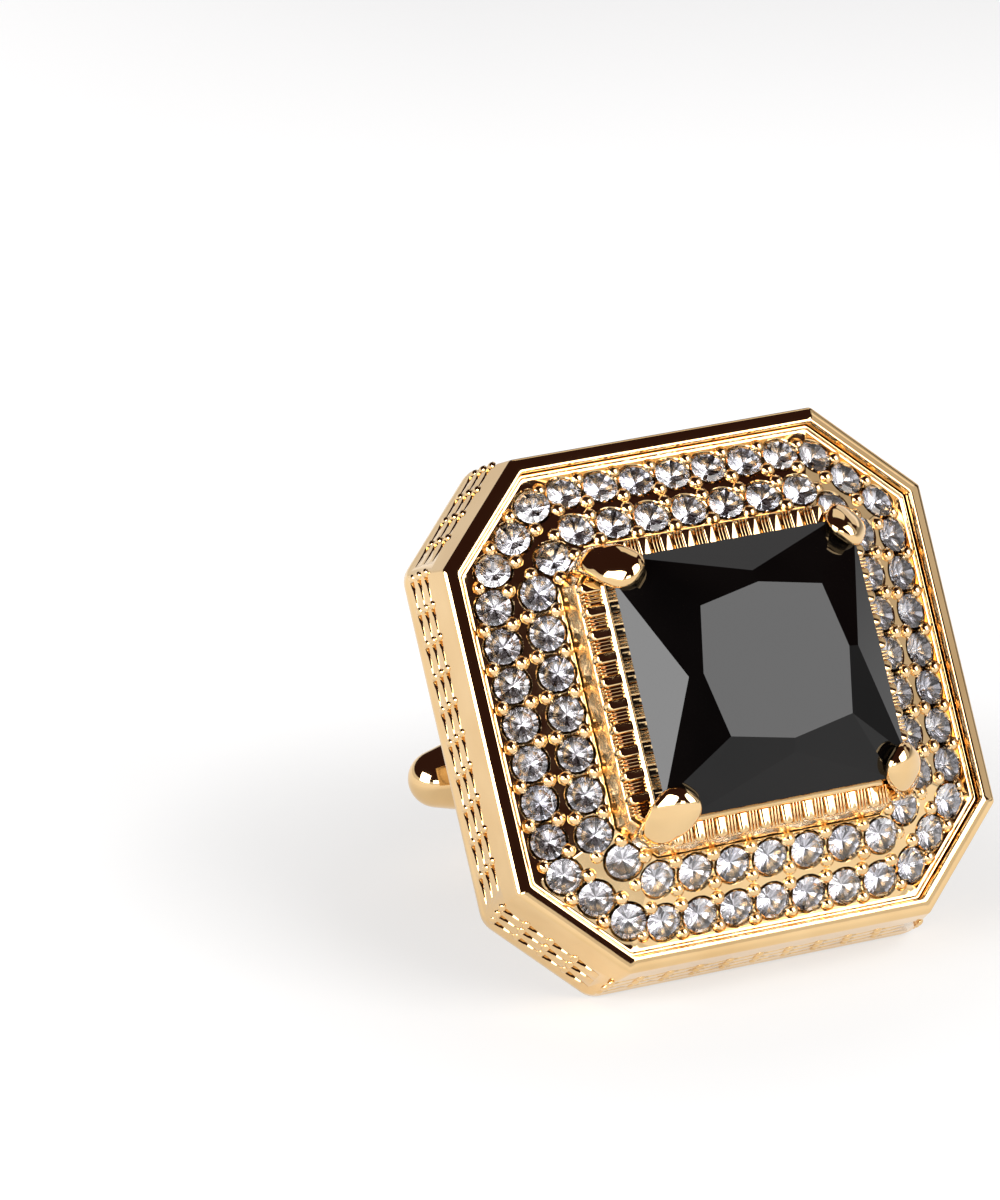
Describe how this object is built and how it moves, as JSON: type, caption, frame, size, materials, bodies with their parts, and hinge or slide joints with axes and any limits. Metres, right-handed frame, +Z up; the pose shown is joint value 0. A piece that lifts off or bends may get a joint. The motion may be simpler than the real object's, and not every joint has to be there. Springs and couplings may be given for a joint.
{
  "type": "cufflink",
  "caption": "Gold-plated cufflink: square black stone in claws, crystal pave frame in a cut-corner case with a raised woven band, and a swivelling torpedo toggle on a forked stem.",
  "frame": {"origin": "on the table under the middle of the cufflink's box, as it lies leaning back on its stem", "axes": "+Z up from the table, -Y the way the face looks, tilted up, +X to the right of the face"},
  "size_m": [0.0206, 0.0212, 0.0191],
  "materials": {
    "gold_plating": "polished gold plating",
    "black_stone": "polished opaque black",
    "clear_crystal": "faceted, foil backed"
  },
  "bodies": {
    "head": {"case_shell": "gold_plating", "back_plate": "gold_plating", "pave_frame": "gold_plating", "gallery": "gold_plating", "seat_rail": "gold_plating", "ribbed_band": "gold_plating", "claw_top_right": "gold_plating", "claw_top_left": "gold_plating", "claw_bottom_left": "gold_plating", "claw_bottom_right": "gold_plating", "stem_fork": "gold_plating", "pivot_pin": "gold_plating", "centre_stone": "black_stone", "outer_crystals_top": "clear_crystal", "outer_crystals_right": "clear_crystal", "outer_crystals_bottom": "clear_crystal", "outer_crystals_left": "clear_crystal", "outer_crystals_top_right": "clear_crystal", "outer_crystals_top_left": "clear_crystal", "outer_crystals_bottom_right": "clear_crystal", "outer_crystals_bottom_left": "clear_crystal", "inner_crystals_top": "clear_crystal", "inner_crystals_right": "clear_crystal", "inner_crystals_bottom": "clear_crystal", "inner_crystals_left": "clear_crystal", "inner_crystals_top_right": "clear_crystal", "inner_crystals_top_left": "clear_crystal", "inner_crystals_bottom_right": "clear_crystal", "inner_crystals_bottom_left": "clear_crystal"},
    "toggle_bar": {"toggle": "gold_plating"}
  },
  "joints": [
    {"name": "toggle_swivel", "type": "hinge", "parent": "head", "child": "toggle_bar", "pos_m": [0, 0.00754, 0.00368], "axis": [0, 0.5302, 0.8479], "range_deg": [-90, 90]}
  ]
}
